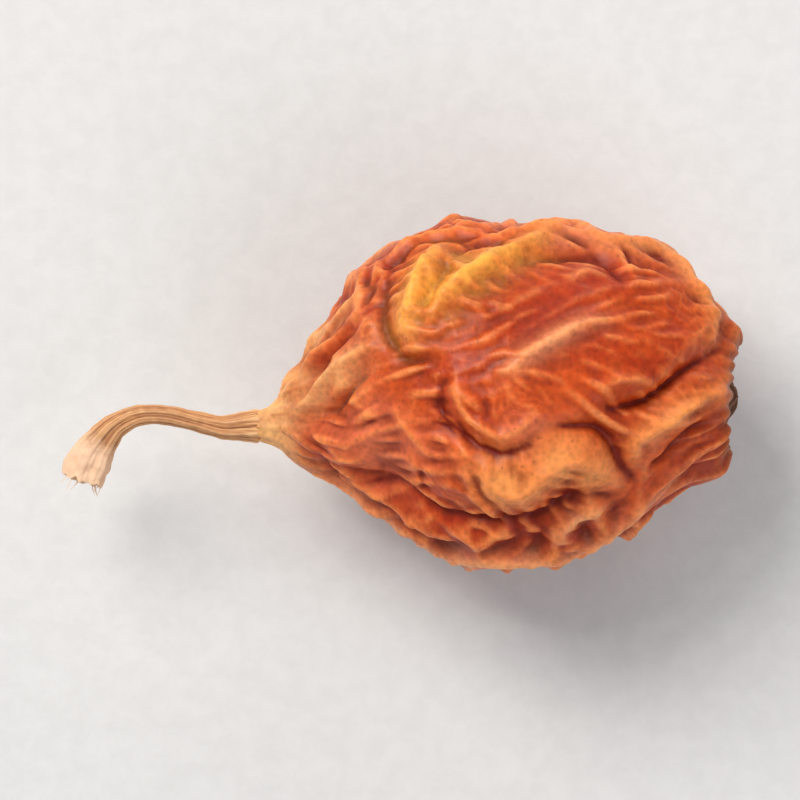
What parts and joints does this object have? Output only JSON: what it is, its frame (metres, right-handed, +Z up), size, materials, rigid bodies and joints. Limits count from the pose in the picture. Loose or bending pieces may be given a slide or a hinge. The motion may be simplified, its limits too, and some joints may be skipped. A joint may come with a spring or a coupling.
{
  "type": "dried rowan berry",
  "caption": "Wrinkled dried berry with the stub of its stalk at one end and a small star-shaped calyx in a pit at the other, lying on its side.",
  "frame": {"origin": "middle of the bottom of the part's box, on the surface that the berry lies on", "axes": "+X from the stem towards the calyx, along the longest extent; +Z up from the surface"},
  "size_m": [0.012, 0.0064, 0.0058],
  "materials": {
    "berry_skin": "dried wrinkled fruit skin, orange-red, satin",
    "stem_bark": "dry golden tan stalk, fibrous, matt",
    "calyx_dry": "dry dark brown sepals, matt"
  },
  "bodies": {
    "root": {"berry": "berry_skin", "stem": "stem_bark", "calyx": "calyx_dry"}
  },
  "joints": []
}
